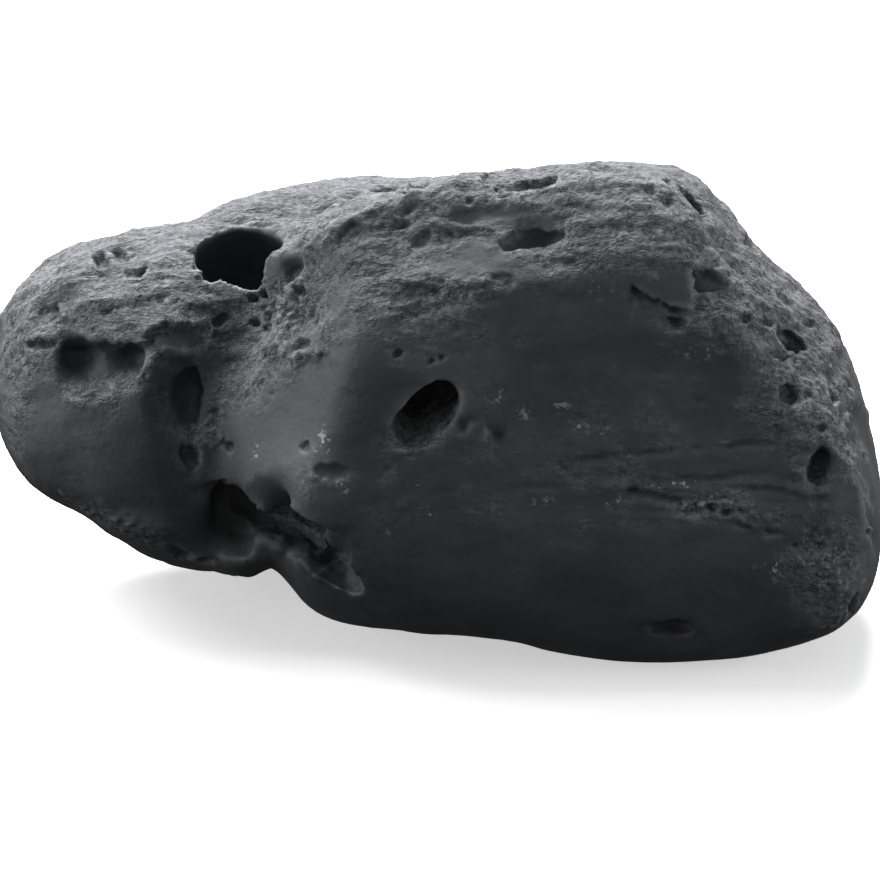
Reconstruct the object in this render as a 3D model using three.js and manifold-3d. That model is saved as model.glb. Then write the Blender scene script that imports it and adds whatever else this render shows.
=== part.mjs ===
// River rock: one weathered, charcoal-grey stone with worn faces, a side lobe and bored holes.
// Millimetres, +Z up, +X along the stone, -Y towards the viewer, origin on the ground under its middle.
import * as THREE from "three";
import { mergeVertices } from "three/addons/utils/BufferGeometryUtils.js";
import Module from "manifold-3d";

// Driving dimensions of the stone
const LENGTH = 300;
const DEPTH = 190;
const HEIGHT = 170;
const HEART = new THREE.Vector3(0, 0, 78);
// Brings the origin under the middle of the finished stone
const CENTRING = new THREE.Vector3(1.5, -1.5, 0);

// The stone's best side is described as seen from one eye point, in front and a little above.
// Places on it are [across, up] in millimetres, on the sight plane through SIGHT_CENTRE.
const SIGHT_CENTRE = new THREE.Vector3(0, 0, 58);
const SIGHT_ELEVATION = 18;
const SIGHT_DISTANCE = 1500;

// The outline that shows from the eye point, anticlockwise from the right
const OUTLINE = [
  [145, 11], [137.5, 34.5], [122.5, 53], [107.5, 65.5], [94, 80], [87, 88], [78, 92.5], [61, 94.5],
  [41, 95], [20, 92.5], [2, 91], [-14, 91], [-41, 88.5], [-61, 84], [-75, 79.5], [-82, 74.5],
  [-96, 72], [-116, 67.5], [-136, 58.5], [-146, 47], [-151, 27], [-151, 5], [-144, -10],
  [-137, -18], [-123.5, -25.5], [-109.5, -34.5], [-95, -43], [-82, -47.5], [-68, -48], [-58.5, -43],
  [-52, -47.5], [-45, -54.5], [-33, -60.5], [-20, -63.5], [0, -66], [21, -68], [41, -74],
  [55, -77.5], [68, -79], [89, -77], [110, -74], [125, -69.5], [139.5, -63.5], [150.5, -48.5],
  [153, -30], [150, -13],
];

// Worn faces of the main body: the way each faces, as a bearing (0 to the viewer, 90 to the right)
// and a tilt above level, a point that it passes through, and how softly it meets the others.
const BODY_FACES = [
  { name: "top", bearing: 180, tilt: 86, through: [55, -25, 174], round: 9 },
  { name: "back", bearing: 178, tilt: 4, through: [20, 88, 70], round: 26 },
  { name: "back slope", bearing: 165, tilt: 40, through: [30, 64, 140], round: 26 },
  { name: "back right", bearing: 122, tilt: 10, through: [124, 58, 80], round: 26 },
  { name: "back foot", bearing: 180, tilt: -42, through: [20, 78, 16], round: 22 },
  { name: "back right foot", bearing: 115, tilt: -36, through: [124, 40, 14], round: 22 },
  { name: "back left", bearing: -110, tilt: -14, through: [-64, 30, 50], round: 22 },
  { name: "upper left", bearing: -130, tilt: 56, through: [-27, -45, 155], round: 4 },
  { name: "front", bearing: 3, tilt: 5, through: [40, -88, 76], round: 16 },
  { name: "front foot", bearing: 0, tilt: -36, through: [50, -80, 12], round: 24 },
  { name: "upper slope", bearing: -8, tilt: 40, through: [20, -74, 146], round: 4 },
  { name: "right shoulder", bearing: 60, tilt: 35, through: [114, -40, 130], round: 6 },
  { name: "right end", bearing: 74, tilt: 0, through: [164, -20, 60], round: 18 },
  { name: "right foot", bearing: 55, tilt: -40, through: [156, -58, 8], round: 22 },
  { name: "left flank", bearing: -50, tilt: 18, through: [-46, -68, 114], round: 6 },
  { name: "left foot", bearing: -40, tilt: -30, through: [-48, -66, 24], round: 16 },
];

// Rounded masses that grow out of the main body
const LOBES = [
  { name: "left lobe", centre: [-90, 6, 74], radii: [80, 66, 66], blend: 10 },
  { name: "back shoulder", centre: [-34, 32, 82], radii: [98, 60, 72], blend: 20 },
];
const OUTLINE_ROUNDING = 15;

// Worn furrows. Each runs through the places in along, as wide and as deep as it says.
const FURROWS = [
  {
    name: "gully",
    along: [[-61, 52], [-71, 34], [-78, 19], [-81, 4], [-80, -10], [-72, -26], [-60, -42]],
    width: 18,
    deep: 6,
  },
];
const FURROW_ROUNDING = 6;

// Holes and hollows. Each is an uneven ellipsoid: at is where its mouth shows from the eye point,
// or behind is the bearing and tilt of its place round the far side. Its size is its length, its width
// and how deep it goes, turn is how far its length is turned anticlockwise, and bores gives the bearing
// and tilt that its mouth faces where that is not straight out.
const HOLLOWS = [
  { name: "deep hole", at: [-68, 63.5], size: [30, 30, 46], turn: -10, bores: [-10, 58] },
  { name: "deep hole lip", at: [-52, 57.5], size: [20, 7, 5], turn: 38 },
  { name: "front hole", at: [-4.5, 9.5], size: [25, 16, 24], turn: 46, bores: [12, 2] },
  { name: "lobe hole", at: [-120, 25], size: [21, 15, 16], turn: -5, bores: [24, -14] },
  { name: "lobe hole tail", at: [-111, 25.5], size: [25, 11, 10], turn: 26 },
  { name: "lobe recess", at: [-91.5, 15.5], size: [21, 16, 15], turn: 78, bores: [-70, 0] },
  { name: "lobe top pit", at: [-112, 60], size: [17, 14, 4], turn: 20 },
  { name: "lobe side pit", at: [-132, 43], size: [17, 12, 4], turn: 10 },
  { name: "cave", at: [-49, -36.5], size: [46, 18, 18], turn: -27, bores: [-26, -42] },
  { name: "cave pocket", at: [-72.5, -34], size: [26, 18, 24], turn: -50, bores: [-55, -40] },
  { name: "cave neck", at: [-60, -30], size: [30, 17, 34], turn: -38, bores: [-55, -25] },
  { name: "cave end", at: [-42, -37], size: [27, 16, 20], turn: -28, bores: [-20, -30] },
  { name: "foot hollow", at: [78, -65.5], size: [20, 8, 9], turn: 4, bores: [0, -25] },
  { name: "slope hollow", at: [31, 67], size: [22, 8, 5], turn: 2, bores: [0, 30] },
  { name: "shoulder slot", at: [87, 80.5], size: [14, 7, 7], turn: -48 },
  { name: "chipped notch", at: [92.5, 55], size: [11, 7.5, 4.5], turn: -50 },
  { name: "shoulder hole", at: [120, 34.5], size: [12, 8, 8], turn: -20 },
  { name: "end hole", at: [129.5, -9.5], size: [14, 10, 9], turn: 75 },
  { name: "end pit", at: [119, 15], size: [10, 8, 4.5], turn: 0 },
  { name: "crest hole", at: [-16, 85.5], size: [14, 11, 9], turn: 0 },
  { name: "shoulder dip", at: [-44, 77.5], size: [13, 12, 5], turn: 0 },
  { name: "back hole", behind: [164, 18], size: [25, 18, 26], turn: 30 },
  { name: "back hole tail", behind: [158, 12], size: [22, 12, 8], turn: -30 },
  { name: "back recess", behind: [-160, 8], size: [28, 16, 9], turn: -20 },
  { name: "back low recess", behind: [140, -14], size: [23, 13, 9], turn: 10 },
  { name: "back lobe pit", behind: [-118, 6], size: [18, 12, 7], turn: 60 },
  { name: "back top pit", behind: [175, 52], size: [16, 11, 6], turn: 0 },
];
// How uneven a hollow is and how large its bumps are, as shares of its size and its width
const HOLLOW_UNEVEN = 0.34;
const HOLLOW_BUMP = 0.8;
// How far in from the surface the middle of a hollow sits, as a share of its depth
const HOLLOW_INSET = 0.3;
// Hollows longer than LONG_HOLLOW are cut with the finer ball
const LONG_HOLLOW = 15;
const HOLLOW_DETAIL = { long: 2, short: 1 };

// Swellings of the whole surface: how large they are and how far they stand out
const SWELLINGS = [
  { size: 46, high: 2.4 },
  { size: 21, high: 1.1 },
];

// The fine ball that the stone is drawn from: how much room it leaves round the stone, how finely it is
// divided, and how far its points are drawn to the front, where the stone has most form
const BALL_ROOM = 1.6;
const BALL_DETAIL = 15;
const FRONT_PULL = 0.25;
// The ball's points are drawn in to a line along the stone, this share of its length
const HEART_SHARE = 0.42;
const WELD = 1e-4;
// An edge is turned along a ridge if that gains RIDGE_GAIN, makes it no more than RIDGE_REACH times
// as long, and folds no triangle further than the cosine RIDGE_FOLD
const RIDGE_PASSES = 6;
const RIDGE_GAIN = 0.05;
const RIDGE_REACH = 2.6;
const RIDGE_FOLD = 0.4;

// Directions, smooth joins and noise

const radians = THREE.MathUtils.degToRad;

function facing(bearing, tilt) {
  const level = Math.cos(radians(tilt));
  return new THREE.Vector3(
    Math.sin(radians(bearing)) * level,
    -Math.cos(radians(bearing)) * level,
    Math.sin(radians(tilt)),
  );
}

function smoothMax(a, b, width) {
  const overlap = Math.max(width - Math.abs(a - b), 0) / width;
  return Math.max(a, b) + (overlap * overlap * width) / 4;
}

const smoothMin = (a, b, width) => -smoothMax(-a, -b, width);

// A repeatable number from -1 to 1 for each point of a whole-number lattice
function lattice(x, y, z) {
  let h = Math.imul(x, 374761393) ^ Math.imul(y, 668265263) ^ Math.imul(z, 2147483647);
  h = Math.imul(h ^ (h >>> 13), 1274126177);
  return ((h ^ (h >>> 16)) >>> 0) / 2147483648 - 1;
}

const ease = (t) => t * t * (3 - 2 * t);

// Smooth lumps of about the given size, from -1 to 1
function lumps(p, size) {
  const x = p.x / size;
  const y = p.y / size;
  const z = p.z / size;
  const [i, j, k] = [Math.floor(x), Math.floor(y), Math.floor(z)];
  const [u, v, w] = [ease(x - i), ease(y - j), ease(z - k)];
  const mix = THREE.MathUtils.lerp;
  const edge = (dj, dk) => mix(lattice(i, j + dj, k + dk), lattice(i + 1, j + dj, k + dk), u);
  return mix(mix(edge(0, 0), edge(1, 0), v), mix(edge(0, 1), edge(1, 1), v), w);
}

// The sight plane

const SIGHT = {
  right: new THREE.Vector3(1, 0, 0),
  up: facing(180, 90 - SIGHT_ELEVATION),
  back: facing(0, SIGHT_ELEVATION),
};
const EYE = SIGHT_CENTRE.clone().addScaledVector(SIGHT.back, SIGHT_DISTANCE);

// Where a point shows on the sight plane, and how much nearer things there look larger
function seen(p) {
  const offset = p.clone().sub(SIGHT_CENTRE);
  const scale = SIGHT_DISTANCE / (SIGHT_DISTANCE - offset.dot(SIGHT.back));
  return { across: offset.dot(SIGHT.right) * scale, up: offset.dot(SIGHT.up) * scale, scale };
}

// The outline as a radius for each whole degree round its middle
const OUTLINE_SAMPLES = 2000;

function outlineRadii() {
  const points = OUTLINE.map(([across, up]) => new THREE.Vector3(across, up, 0));
  const curve = new THREE.CatmullRomCurve3(points, true, "centripetal");
  const samples = curve.getPoints(OUTLINE_SAMPLES).map((q) => ({
    angle: Math.atan2(q.y, q.x),
    radius: Math.hypot(q.x, q.y),
  }));
  samples.sort((a, b) => a.angle - b.angle);
  return Array.from({ length: 360 }, (_, degree) => {
    const angle = radians(degree - 180);
    const next = samples.findIndex((s) => s.angle >= angle);
    return samples[Math.max(next, 0)].radius;
  });
}

const RADII = outlineRadii();

function outlineField(p) {
  const { across, up, scale } = seen(p);
  const degree = THREE.MathUtils.radToDeg(Math.atan2(up, across)) + 180;
  const low = Math.floor(degree) % 360;
  const radius = THREE.MathUtils.lerp(RADII[low], RADII[(low + 1) % 360], degree - Math.floor(degree));
  return (Math.hypot(across, up) - radius) / scale;
}

// The stone as a field: below zero inside, above zero outside

const FACES = BODY_FACES.map(({ bearing, tilt, through, round }) => {
  const normal = facing(bearing, tilt);
  return { normal, round, offset: normal.dot(new THREE.Vector3(...through)) };
});

function bodyField(p) {
  return FACES.reduce(
    (field, { normal, offset, round }) => smoothMax(field, normal.dot(p) - offset, round),
    -HEIGHT,
  );
}

function lobeField(p, { centre, radii }) {
  const share = p.toArray().map((value, axis) => (value - centre[axis]) / radii[axis]);
  const reach = Math.hypot(...share);
  const slope = Math.hypot(...share.map((value, axis) => value / radii[axis]));
  return slope > 0 ? (reach * (reach - 1)) / slope : -Math.min(...radii);
}

function unwornField(p) {
  let field = bodyField(p);
  for (const lobe of LOBES) field = smoothMin(field, lobeField(p, lobe), lobe.blend);
  field = smoothMax(field, outlineField(p), OUTLINE_ROUNDING);
  return SWELLINGS.reduce((sum, { size, high }) => sum + high * lumps(p, size), field);
}

// Walks from one point towards another and stops where the field begins
const STRIDE = 0.7;
const MOST_STEPS = 200;
const NEAR_ENOUGH = 0.01;

function meet(fieldAt, from, to) {
  const way = to.clone().sub(from);
  const reach = way.length();
  way.normalize();
  const p = from.clone();
  let gone = 0;
  for (let step = 0; step < MOST_STEPS && gone < reach; step++) {
    const field = fieldAt(p);
    if (Math.abs(field) < NEAR_ENOUGH) break;
    gone += field * STRIDE;
    p.copy(from).addScaledVector(way, gone);
  }
  return p;
}

// The way that a field faces at a point, from its slope
function outward(fieldAt, p) {
  const step = 2;
  const rise = (x, y, z) => {
    const offset = new THREE.Vector3(x, y, z).multiplyScalar(step);
    return fieldAt(p.clone().add(offset)) - fieldAt(p.clone().sub(offset));
  };
  return new THREE.Vector3(rise(1, 0, 0), rise(0, 1, 0), rise(0, 0, 1)).normalize();
}

// The point of the stone that shows at a place on the sight plane, looked for near that plane
const SIGHT_SPAN = [0.8, 1.2];

function sighted(fieldAt, [across, up]) {
  const target = SIGHT_CENTRE.clone().addScaledVector(SIGHT.right, across).addScaledVector(SIGHT.up, up);
  const [near, far] = SIGHT_SPAN.map((share) => EYE.clone().lerp(target, share));
  return meet(fieldAt, near, far);
}

// A furrow takes away a round bar that is sunk into the stone along its line
const BARS = FURROWS.map(({ along, width, deep }) => {
  const radius = (width * width) / (8 * deep) + deep / 2;
  const points = along.map((place) => {
    const p = sighted(unwornField, place);
    return p.addScaledVector(outward(unwornField, p), radius - deep);
  });
  return { radius, lines: points.slice(1).map((end, i) => new THREE.Line3(points[i], end)) };
});

function stoneField(p) {
  const nearest = new THREE.Vector3();
  return BARS.reduce((field, { radius, lines }) => {
    const away = Math.min(...lines.map((line) => line.closestPointToPoint(p, true, nearest).distanceTo(p)));
    return smoothMax(field, radius - away, FURROW_ROUNDING);
  }, unwornField(p));
}

// The blank: a fine ball whose points are drawn in along lines to the stone's long heart
function stoneGeometry() {
  const geometry = bareBall(BALL_DETAIL);
  const place = geometry.attributes.position;
  const unit = new THREE.Vector3();
  for (let i = 0; i < place.count; i++) {
    unit.fromBufferAttribute(place, i).addScaledVector(SIGHT.back, FRONT_PULL).normalize();
    const outside = new THREE.Vector3(LENGTH, DEPTH, HEIGHT).multiplyScalar(BALL_ROOM / 2);
    outside.multiply(unit).add(HEART);
    const inside = HEART.clone();
    inside.x += (unit.x * LENGTH * HEART_SHARE) / 2;
    const p = meet(stoneField, outside, inside);
    place.setXYZ(i, p.x, p.y, p.z);
  }
  followRidges(geometry);
  return geometry;
}

// Turns the edge that two triangles share the other way where that lies closer to the stone,
// so that the edges run along its ridges and furrows
function followRidges(geometry) {
  const corners = geometry.index.array;
  const place = geometry.attributes.position;
  const point = (i) => new THREE.Vector3().fromBufferAttribute(place, i);
  const miss = (i, j) => Math.abs(stoneField(point(i).lerp(point(j), 0.5)));
  const normal = (...ids) => new THREE.Triangle(...ids.map(point)).getNormal(new THREE.Vector3());
  for (let pass = 0; pass < RIDGE_PASSES; pass++) {
    const owner = new Map();
    corners.forEach((corner, n) => owner.set(`${corner} ${corners[n % 3 < 2 ? n + 1 : n - 2]}`, n));
    const turned = new Set();
    for (const [edge, n] of owner) {
      const [a, b] = edge.split(" ").map(Number);
      const m = owner.get(`${b} ${a}`);
      const [first, second] = [n - (n % 3), m - (m % 3)];
      if (turned.has(first) || turned.has(second)) continue;
      const c = corners[first + ((n + 2) % 3)];
      const d = corners[second + ((m + 2) % 3)];
      if (owner.has(`${c} ${d}`) || owner.has(`${d} ${c}`)) continue;
      if (miss(c, d) > miss(a, b) - RIDGE_GAIN) continue;
      if (point(c).distanceTo(point(d)) > RIDGE_REACH * point(a).distanceTo(point(b))) continue;
      const facingOut = normal(a, b, c).add(normal(b, a, d)).normalize();
      const flattest = Math.min(facingOut.dot(normal(a, d, c)), facingOut.dot(normal(d, b, c)));
      if (flattest < RIDGE_FOLD) continue;
      corners.set([a, d, c], first);
      corners.set([d, b, c], second);
      turned.add(first).add(second);
    }
  }
}

const wasm = await Module();
wasm.setup();

function solidOf(geometry) {
  return new wasm.Manifold(
    new wasm.Mesh({
      numProp: 3,
      vertProperties: new Float32Array(geometry.attributes.position.array),
      triVerts: new Uint32Array(geometry.index.array),
    }),
  );
}

function geometryOf(solid) {
  const mesh = solid.getMesh();
  const geometry = new THREE.BufferGeometry();
  geometry.setAttribute("position", new THREE.BufferAttribute(mesh.vertProperties, 3));
  geometry.setIndex(new THREE.BufferAttribute(mesh.triVerts, 1));
  geometry.computeVertexNormals();
  return geometry;
}

function groundBlock() {
  const block = new THREE.BoxGeometry(2 * LENGTH, 2 * DEPTH, HEIGHT);
  block.translate(0, 0, -HEIGHT / 2);
  block.deleteAttribute("normal");
  block.deleteAttribute("uv");
  return solidOf(mergeVertices(block, WELD));
}

function bareBall(detail) {
  const ball = new THREE.IcosahedronGeometry(1, detail);
  ball.deleteAttribute("normal");
  ball.deleteAttribute("uv");
  return mergeVertices(ball, WELD);
}

// A point well outside the stone, at a bearing and tilt from its heart
const aroundHeart = ([bearing, tilt]) => HEART.clone().addScaledVector(facing(bearing, tilt), LENGTH);

// The way a hollow's length runs: turned from the right as looked at along level, and square to its mouth
function lengthways(out, turn, level) {
  const along = SIGHT.right.clone().applyAxisAngle(level, radians(turn));
  return along.addScaledVector(level, -along.dot(out) / level.dot(out)).normalize();
}

// The solid that a hollow takes away
function hollowSolid({ at, behind, size, turn, bores }) {
  const mouth = at ? sighted(stoneField, at) : meet(stoneField, aroundHeart(behind), HEART);
  const out = bores ? facing(...bores) : outward(stoneField, mouth);
  const along = lengthways(out, turn, at ? SIGHT.back : out);
  const wide = out.clone().cross(along);
  const [length, width, deep] = size;
  const radius = deep / (1 + HOLLOW_INSET);
  const middle = mouth.clone().addScaledVector(out, -radius * HOLLOW_INSET);
  const geometry = bareBall(length > LONG_HOLLOW ? HOLLOW_DETAIL.long : HOLLOW_DETAIL.short);
  const place = geometry.attributes.position;
  const unit = new THREE.Vector3();
  for (let i = 0; i < place.count; i++) {
    unit.fromBufferAttribute(place, i);
    const p = middle.clone();
    p.addScaledVector(along, (unit.x * length) / 2).addScaledVector(wide, (unit.y * width) / 2);
    p.addScaledVector(out, unit.z * radius);
    const uneven = 1 + HOLLOW_UNEVEN * lumps(p, width * HOLLOW_BUMP);
    p.sub(middle).multiplyScalar(uneven).add(middle);
    place.setXYZ(i, p.x, p.y, p.z);
  }
  return solidOf(geometry);
}

const stone = HOLLOWS.reduce(
  (solid, hollow) => solid.subtract(hollowSolid(hollow)),
  solidOf(stoneGeometry()).subtract(groundBlock()),
);

const rock = new THREE.Mesh(
  geometryOf(stone),
  new THREE.MeshStandardMaterial({ color: 0x3a3b3e, roughness: 0.85, metalness: 0 }),
);
rock.name = "rock";
rock.position.copy(CENTRING);

const group = new THREE.Group();
group.add(rock);
export default group;
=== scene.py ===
# %% [markdown]
# # A dark river rock
# The stone is one piece, about 300 mm long: a smooth dark front, a rough pale-dusted top, a round lobe
# at the left behind a gully, and holes bored into it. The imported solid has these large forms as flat
# triangles. This lesson gives it a fine skin, wears the small forms into that skin, and colours it.

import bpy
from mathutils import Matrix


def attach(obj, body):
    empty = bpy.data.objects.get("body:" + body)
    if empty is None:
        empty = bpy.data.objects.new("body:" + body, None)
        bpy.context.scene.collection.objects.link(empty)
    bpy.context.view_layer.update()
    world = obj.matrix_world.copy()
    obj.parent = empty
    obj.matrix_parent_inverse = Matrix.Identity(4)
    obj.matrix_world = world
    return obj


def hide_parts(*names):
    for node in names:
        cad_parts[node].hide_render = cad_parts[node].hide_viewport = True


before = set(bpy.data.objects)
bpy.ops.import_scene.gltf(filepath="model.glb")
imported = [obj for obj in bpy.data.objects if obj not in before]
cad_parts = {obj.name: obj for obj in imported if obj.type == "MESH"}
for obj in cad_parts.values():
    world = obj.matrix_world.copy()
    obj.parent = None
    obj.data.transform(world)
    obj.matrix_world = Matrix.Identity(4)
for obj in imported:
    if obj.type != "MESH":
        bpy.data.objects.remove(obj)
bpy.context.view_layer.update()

# %% [markdown]
# ## The camera
# The camera comes first, because the small forms are placed by where the photograph shows them. It
# looks a little down on the stone from far off with a long lens, so that lines hardly draw together.
# The picture is square, and takes in 300 mm at the stone.

# %% Set up the camera
import math
import bpy
import bmesh
import numpy as np
from mathutils import Vector, kdtree, noise

MM = 0.001
PICTURE_SIDE = 880
VIEW_WIDTH = 300.0
VIEW_DISTANCE = 1500.0
VIEW_TILT = math.radians(18)
VIEW_CENTRE = np.array([1.5, -1.5, 58.0])
SENSOR = 36.0
PIXEL = VIEW_WIDTH / PICTURE_SIDE

view_right = np.array([1.0, 0.0, 0.0])
view_up = np.array([0.0, math.sin(VIEW_TILT), math.cos(VIEW_TILT)])
view_in = np.array([0.0, math.cos(VIEW_TILT), -math.sin(VIEW_TILT)])
eye = VIEW_CENTRE - VIEW_DISTANCE * view_in

scene = bpy.context.scene
camera = bpy.data.objects.new("camera", bpy.data.cameras.new("camera"))
scene.collection.objects.link(camera)
camera.location = eye * MM
camera.rotation_euler = (math.pi / 2 - VIEW_TILT, 0, 0)
camera.data.sensor_width = SENSOR
camera.data.lens = SENSOR * VIEW_DISTANCE / VIEW_WIDTH
scene.camera = camera
print("camera at", [round(v, 3) for v in camera.location], "lens", camera.data.lens)

# %% [markdown]
# ## A fine skin
# Carving needs many small, even faces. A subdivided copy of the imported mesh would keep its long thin
# triangles, so a voxel remesh is better: it fills the stone with small cubes and wraps them in an even
# net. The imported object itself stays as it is, and this new piece stands in for it. The net is made
# twice: once for the larger forms, and again afterwards, so that stretched places are even once more.

# %% Wrap the stone in an even net
FIRST_VOXEL = 1.2
AVERAGE_STEP = 0.5

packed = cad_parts["rock"]
rock = bpy.data.objects.new("river_rock", packed.data.copy())
scene.collection.objects.link(rock)


def bake_modifiers(piece):
    """Works a piece's modifiers into its mesh."""
    graph = bpy.context.evaluated_depsgraph_get()
    piece.data = bpy.data.meshes.new_from_object(piece.evaluated_get(graph))
    piece.modifiers.clear()


def ramp(value, low, high):
    """0 at low, 1 at high, and a smooth rise between them."""
    share = np.clip((value - low) / (high - low), 0, 1)
    return share * share * (3 - 2 * share)


class Net:
    """An even net of points over a piece, in mm, that knows each point's neighbours."""

    def __init__(self, piece, voxel):
        remesh = piece.modifiers.new("even net", "REMESH")
        remesh.mode = "VOXEL"
        remesh.voxel_size = voxel * MM
        bake_modifiers(piece)
        self.mesh = piece.data
        self.count = len(self.mesh.vertices)
        flat = np.empty(self.count * 3)
        self.mesh.vertices.foreach_get("co", flat)
        self.points = flat.reshape(-1, 3) / MM
        pairs = np.empty(len(self.mesh.edges) * 2, int)
        self.mesh.edges.foreach_get("vertices", pairs)
        pairs = pairs.reshape(-1, 2)
        self.links = np.vstack([pairs, pairs[:, ::-1]])
        self.link_count = np.bincount(self.links[:, 0], minlength=self.count)

    def around(self, values):
        """The mean of each point's neighbours."""
        start, end = self.links.T
        columns = values.reshape(self.count, -1).T
        sums = [np.bincount(start, column[end], self.count) for column in columns]
        return (np.array(sums) / self.link_count).T.reshape(values.shape)

    def averaged(self, values, rounds, step=AVERAGE_STEP):
        for _ in range(rounds):
            values = values + step * (self.around(values) - values)
        return values

    def write(self):
        """Puts the points into the mesh."""
        self.mesh.vertices.foreach_set("co", (self.points * MM).ravel())
        self.mesh.update()

    def outward(self, rounds=8):
        """Each point's outward direction, averaged so that neighbours move together."""
        self.write()
        facing = np.empty(self.count * 3)
        self.mesh.vertices.foreach_get("normal", facing)
        facing = self.averaged(facing.reshape(-1, 3), rounds)
        return facing / np.linalg.norm(facing, axis=1)[:, None]

    def lumps(self, size, layers=1, shift=0.0, drawn_out=(1, 1, 1)):
        """Noise from about -1 to 1 with lumps of that size in mm, which may be drawn out."""
        places = (self.points / (size * np.array(drawn_out)) + shift).tolist()
        return np.array([noise.fractal(place, 1.0, 2.0, layers) for place in places])


net = Net(rock, FIRST_VOXEL)
print("first net:", net.count, "points")

# %% [markdown]
# ## Round off the flat faces
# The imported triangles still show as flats. Moving each point to the middle of its neighbours, again and
# again, melts them away, but it would melt the crisp rims of the holes as well. So the sharp edges of
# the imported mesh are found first, and points near them move less. Averaging also shrinks a shape: what
# went missing is averaged too and given back.

# %% Find the crisp rims
RIM_ANGLE = math.radians(34)
RIM_STEP = 1.0
RIM_REACH = 5.0
RIM_HOLD = 0.12

shape = bmesh.new()
shape.from_mesh(packed.data)
bmesh.ops.remove_doubles(shape, verts=shape.verts, dist=0.01 * MM)
rims = []
for edge in shape.edges:
    if len(edge.link_faces) == 2 and edge.calc_face_angle() > RIM_ANGLE:
        start, end = (v.co / MM for v in edge.verts)
        steps = max(1, round((end - start).length / RIM_STEP))
        rims += [start.lerp(end, i / steps) for i in range(steps + 1)]
shape.free()
rim_tree = kdtree.KDTree(len(rims))
for index, place in enumerate(rims):
    rim_tree.insert(place, index)
rim_tree.balance()
rim_gap = np.array([rim_tree.find(place)[2] for place in net.points.tolist()])
print("rims:", len(rims), "places;", int((rim_gap < RIM_REACH).sum()), "points near them")

# %% Average the flats away
FLAT_ROUNDS = 80

melt = AVERAGE_STEP * (RIM_HOLD + (1 - RIM_HOLD) * ramp(rim_gap, 0, RIM_REACH))[:, None]
soft = net.averaged(net.points, FLAT_ROUNDS, melt)
soft = soft + net.averaged(net.points - soft, FLAT_ROUNDS, melt)
print("mean move", round(float(np.abs(soft - net.points).mean()), 3), "mm")
net.points = soft

# %% [markdown]
# ## Marks seen in the photograph
# Ledges, cracks and pits are listed by where the photograph shows them, in pixels, and by their real
# size in mm. Each point of the skin is carried back to the picture plane, where it can be measured
# against a mark. A mark only reaches the layer of stone that the camera sees there, so that it doesn't
# press through to the far side.

# %% Carry the skin back to the picture
LAYER = 24.0
FRONT_SEARCH = 7.0
UNEVEN = 0.38


def look():
    """Works out where the photograph shows each point, how far off it is, and its noise."""
    from_eye = net.points - eye
    net.depth = from_eye @ view_in
    spread = VIEW_DISTANCE / (net.depth * PIXEL)
    across = PICTURE_SIDE / 2 + from_eye @ view_right * spread
    down = PICTURE_SIDE / 2 - from_eye @ view_up * spread
    net.seen = np.stack([across, down], axis=1)
    net.wobble = net.lumps(6.5, 3, 5.7) + 0.7 * net.lumps(2.4, 2, 15.3)
    net.patchy = 0.75 + 0.5 * net.lumps(11.0, 2, 31.9)
    net.normals = net.outward()
    net.off_base = ramp(net.points[:, 2], 0, 6)


def front_depth(place):
    """How far off the stone's front is at a pixel."""
    away = np.hypot(*(net.seen - place).T)
    return net.depth[away < max(FRONT_SEARCH, away.min() + 1)].min()


def in_layer(ids, level):
    return 1 - ramp(np.abs(net.depth[ids] - level), 0.6 * LAYER, LAYER)


def near_ids(low, high, margin):
    """The points seen inside a box of the picture, with a margin in mm."""
    low = np.asarray(low) - margin / PIXEL
    high = np.asarray(high) + margin / PIXEL
    return np.flatnonzero(np.all((net.seen > low) & (net.seen < high), axis=1))


def oval(place, size, turn=0):
    """Points near an oval on the picture: ids, how far out they are (1 is its edge), layer."""
    ids = near_ids(place, place, max(size))
    gap = (net.seen[ids] - place) * PIXEL
    angle = math.radians(turn)
    length = gap[:, 0] * math.cos(angle) - gap[:, 1] * math.sin(angle)
    width = gap[:, 0] * math.sin(angle) + gap[:, 1] * math.cos(angle)
    out = 2 * np.hypot(length / size[0], width / size[1]) * (1 + UNEVEN * net.wobble[ids])
    return ids, out, in_layer(ids, front_depth(place))


def bowl(out, crisp):
    """Depth of a hollow from 1 in the middle to 0 at its edge."""
    soft_bowl = np.clip(1 - out * out, 0, 1) ** 2
    steep = 1 - ramp(out, 0.65, 1.0)
    return soft_bowl + crisp * (steep - soft_bowl)


def from_segment(spot, start, end):
    """Gaps from a straight line on the picture, and the share along it of the nearest place."""
    step = end - start
    gap = spot - start
    share = np.clip(gap @ step / (step @ step), 0, 1)
    return np.hypot(*(gap - share[:, None] * step).T), share


def follow(path, margin):
    """Points near a line on the picture: ids, distance in mm with its side, share along, layer."""
    corners = np.array(path, float)
    levels = np.array([front_depth(corner) for corner in corners])
    lengths = np.hypot(*np.diff(corners, axis=0).T)
    starts = np.concatenate([[0], np.cumsum(lengths)])
    ids = near_ids(corners.min(0), corners.max(0), margin)
    best = np.full(len(ids), np.inf)
    side, along, level = np.ones((3, len(ids)))
    for i, length in enumerate(lengths):
        step = corners[i + 1] - corners[i]
        gap = net.seen[ids] - corners[i]
        far, share = from_segment(net.seen[ids], corners[i], corners[i + 1])
        nearer = far < best
        best[nearer] = far[nearer]
        side[nearer] = np.sign(step[0] * gap[:, 1] - step[1] * gap[:, 0])[nearer]
        along[nearer] = ((starts[i] + share * length) / starts[-1])[nearer]
        level[nearer] = (levels[i] + share * (levels[i + 1] - levels[i]))[nearer]
    return ids, best * PIXEL * side, along, in_layer(ids, level)


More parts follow.
